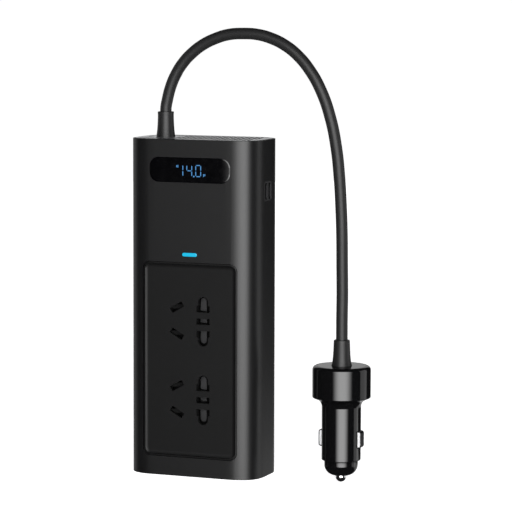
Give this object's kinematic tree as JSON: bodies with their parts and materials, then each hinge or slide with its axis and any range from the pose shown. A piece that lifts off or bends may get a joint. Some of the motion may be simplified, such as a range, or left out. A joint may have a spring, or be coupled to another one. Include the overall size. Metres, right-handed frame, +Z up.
{
  "type": "vehicle power inverter",
  "caption": "Upright vehicle power inverter with mains outlets, voltage display, side charging ports, fan under a top grille and a captive lead to a lighter plug.",
  "frame": {"origin": "middle of the underside of the body, on the surface it stands on", "axes": "+Z up along the body's height, -Y towards the face with the outlets, +X to the right when facing the outlets"},
  "size_m": [0.1296, 0.0394, 0.2336],
  "materials": {
    "sleeve": "satin fine-grain black",
    "panel": "satin black, slightly darker than the sleeve",
    "frame_plastic": "matt black moulding",
    "grille": "satin silver",
    "window": "polished black acrylic",
    "digits": "lit blue-white bars",
    "light_pipe": "lit cyan bar",
    "led_module": "white reflector",
    "circuit_board": "green solder mask",
    "steel": "zinc-plated",
    "insulator": "black moulding",
    "brass": "stamped strip",
    "shutter_dark": "matt black",
    "shutter_grey": "matt mid grey",
    "spring_steel": "drawn wire",
    "heat_sink": "extruded",
    "chip": "moulded package",
    "copper": "enamelled copper wire",
    "ferrite": "sintered ferrite",
    "winding_tape": "yellow polyester tape",
    "capacitor": "printed sleeve, left blank",
    "strain_relief": "satin rubber",
    "lead": "smooth jacket",
    "wire": "insulated wire",
    "plug_gloss": "polished black",
    "nickel": "nickel-plated",
    "fuse_glass": "glass tube with metal caps"
  },
  "bodies": {
    "housing": {"outer_sleeve": "sleeve", "bottom_cap": "sleeve", "bottom_screws": "steel", "top_frame": "frame_plastic", "top_screws": "steel", "top_grille": "grille", "display_window": "window", "display_digits": "digits", "digit_module": "led_module", "display_board": "circuit_board", "led_light_pipe": "light_pipe", "led_board": "circuit_board", "socket_panel": "panel", "socket_block": "insulator", "socket_screws": "steel", "socket_back_cover": "insulator", "live_contacts": "brass", "neutral_contacts": "brass", "earth_contacts": "brass", "upper_slot_spring": "spring_steel", "upper_hole_spring": "spring_steel", "lower_slot_spring": "spring_steel", "lower_hole_spring": "spring_steel", "port_surround": "frame_plastic", "port_shells": "steel", "port_tongues": "shutter_dark", "port_board": "circuit_board", "main_board": "circuit_board", "board_screws": "steel", "heat_sink": "heat_sink", "power_transistors": "chip", "control_chips": "chip", "filter_choke": "copper", "transformer_core": "ferrite", "transformer_winding": "winding_tape", "input_capacitors": "capacitor", "bulk_capacitor": "capacitor", "fan_frame": "frame_plastic", "fan_screws": "steel", "body_gland": "strain_relief", "gland_nut": "frame_plastic", "input_wires": "wire", "cord": "lead", "plug_strain_relief": "strain_relief", "plug_collar": "plug_gloss", "plug_barrel": "plug_gloss", "plug_nose": "plug_gloss", "tip_spring": "spring_steel"},
    "fan_rotor_body": {"fan_rotor": "frame_plastic"},
    "upper_slot_shutter_body": {"upper_slot_shutter": "shutter_dark"},
    "upper_hole_shutter_body": {"upper_hole_shutter": "shutter_grey"},
    "lower_slot_shutter_body": {"lower_slot_shutter": "shutter_dark"},
    "lower_hole_shutter_body": {"lower_hole_shutter": "shutter_grey"},
    "tip_body": {"tip_contact": "nickel", "plug_fuse": "fuse_glass"},
    "left_contact_body": {"left_side_contact": "nickel"},
    "right_contact_body": {"right_side_contact": "nickel"}
  },
  "joints": [
    {"name": "fan_spin", "type": "hinge", "parent": "housing", "child": "fan_rotor_body", "pos_m": [0.009, 0.003, 0.166], "axis": [0, 0, 1], "continuous": true},
    {"name": "upper_slot_shutter_slide", "type": "slide", "parent": "housing", "child": "upper_slot_shutter_body", "axis": [-1, 0, 0], "range_m": [0, 0.0086], "stiffness_N_per_m": 40, "springref_m": -0.003, "deforming": ["upper_slot_spring"]},
    {"name": "upper_hole_shutter_slide", "type": "slide", "parent": "housing", "child": "upper_hole_shutter_body", "axis": [1, 0, 0], "range_m": [0, 0.0082], "stiffness_N_per_m": 40, "springref_m": -0.003, "deforming": ["upper_hole_spring"]},
    {"name": "lower_slot_shutter_slide", "type": "slide", "parent": "housing", "child": "lower_slot_shutter_body", "axis": [-1, 0, 0], "range_m": [0, 0.0086], "stiffness_N_per_m": 40, "springref_m": -0.003, "deforming": ["lower_slot_spring"]},
    {"name": "lower_hole_shutter_slide", "type": "slide", "parent": "housing", "child": "lower_hole_shutter_body", "axis": [1, 0, 0], "range_m": [0, 0.0082], "stiffness_N_per_m": 40, "springref_m": -0.003, "deforming": ["lower_hole_spring"]},
    {"name": "tip_press", "type": "slide", "parent": "housing", "child": "tip_body", "axis": [0, 0, 1], "range_m": [0, 0.0025], "stiffness_N_per_m": 400, "springref_m": -0.004, "deforming": ["tip_spring"]},
    {"name": "left_contact_press", "type": "slide", "parent": "housing", "child": "left_contact_body", "axis": [1, 0, 0], "range_m": [0, 0.0011], "stiffness_N_per_m": 900, "springref_m": -0.001},
    {"name": "right_contact_press", "type": "slide", "parent": "housing", "child": "right_contact_body", "axis": [-1, 0, 0], "range_m": [0, 0.0011], "stiffness_N_per_m": 900, "springref_m": -0.001}
  ]
}
